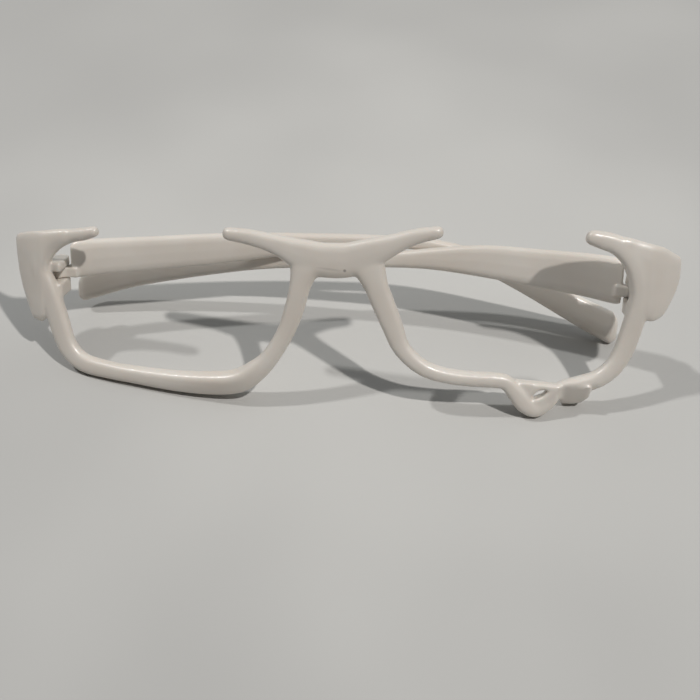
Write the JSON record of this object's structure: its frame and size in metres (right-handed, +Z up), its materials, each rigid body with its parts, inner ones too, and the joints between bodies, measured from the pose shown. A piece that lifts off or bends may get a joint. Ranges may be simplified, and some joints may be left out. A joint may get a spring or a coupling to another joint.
{
  "type": "half-rim glasses",
  "caption": "Moulded plastic glasses frame with rims open along the top and a dipped loop in one rim, folded, with screwed hinges; holds no lenses.",
  "frame": {"origin": "on the table surface under the middle of the folded glasses", "axes": "+X to the viewer's right along the front, +Y from the front towards the folded arms, +Z up"},
  "size_m": [0.1442, 0.037, 0.0375],
  "materials": {
    "ivory_plastic": "glossy injection-moulded plastic, warm white",
    "screw_steel": "plain steel"
  },
  "bodies": {
    "front": {"front_frame": "ivory_plastic", "left_hinge_screw": "screw_steel", "right_hinge_screw": "screw_steel"},
    "left_arm": {"left_temple": "ivory_plastic"},
    "right_arm": {"right_temple": "ivory_plastic"}
  },
  "joints": [
    {"name": "right_hinge", "type": "hinge", "parent": "front", "child": "right_arm", "pos_m": [0.06352, 0.00594, 0.02269], "axis": [0.0041, -0.5193, -0.8546], "range_deg": [0, 90]},
    {"name": "left_hinge", "type": "hinge", "parent": "front", "child": "left_arm", "pos_m": [-0.06324, 0.00398, 0.01905], "axis": [-0.0041, 0.4272, 0.9041], "range_deg": [0, 90]}
  ],
  "couplings": [
    {"joint": "left_hinge", "follows": "right_hinge", "ratio": 1}
  ]
}
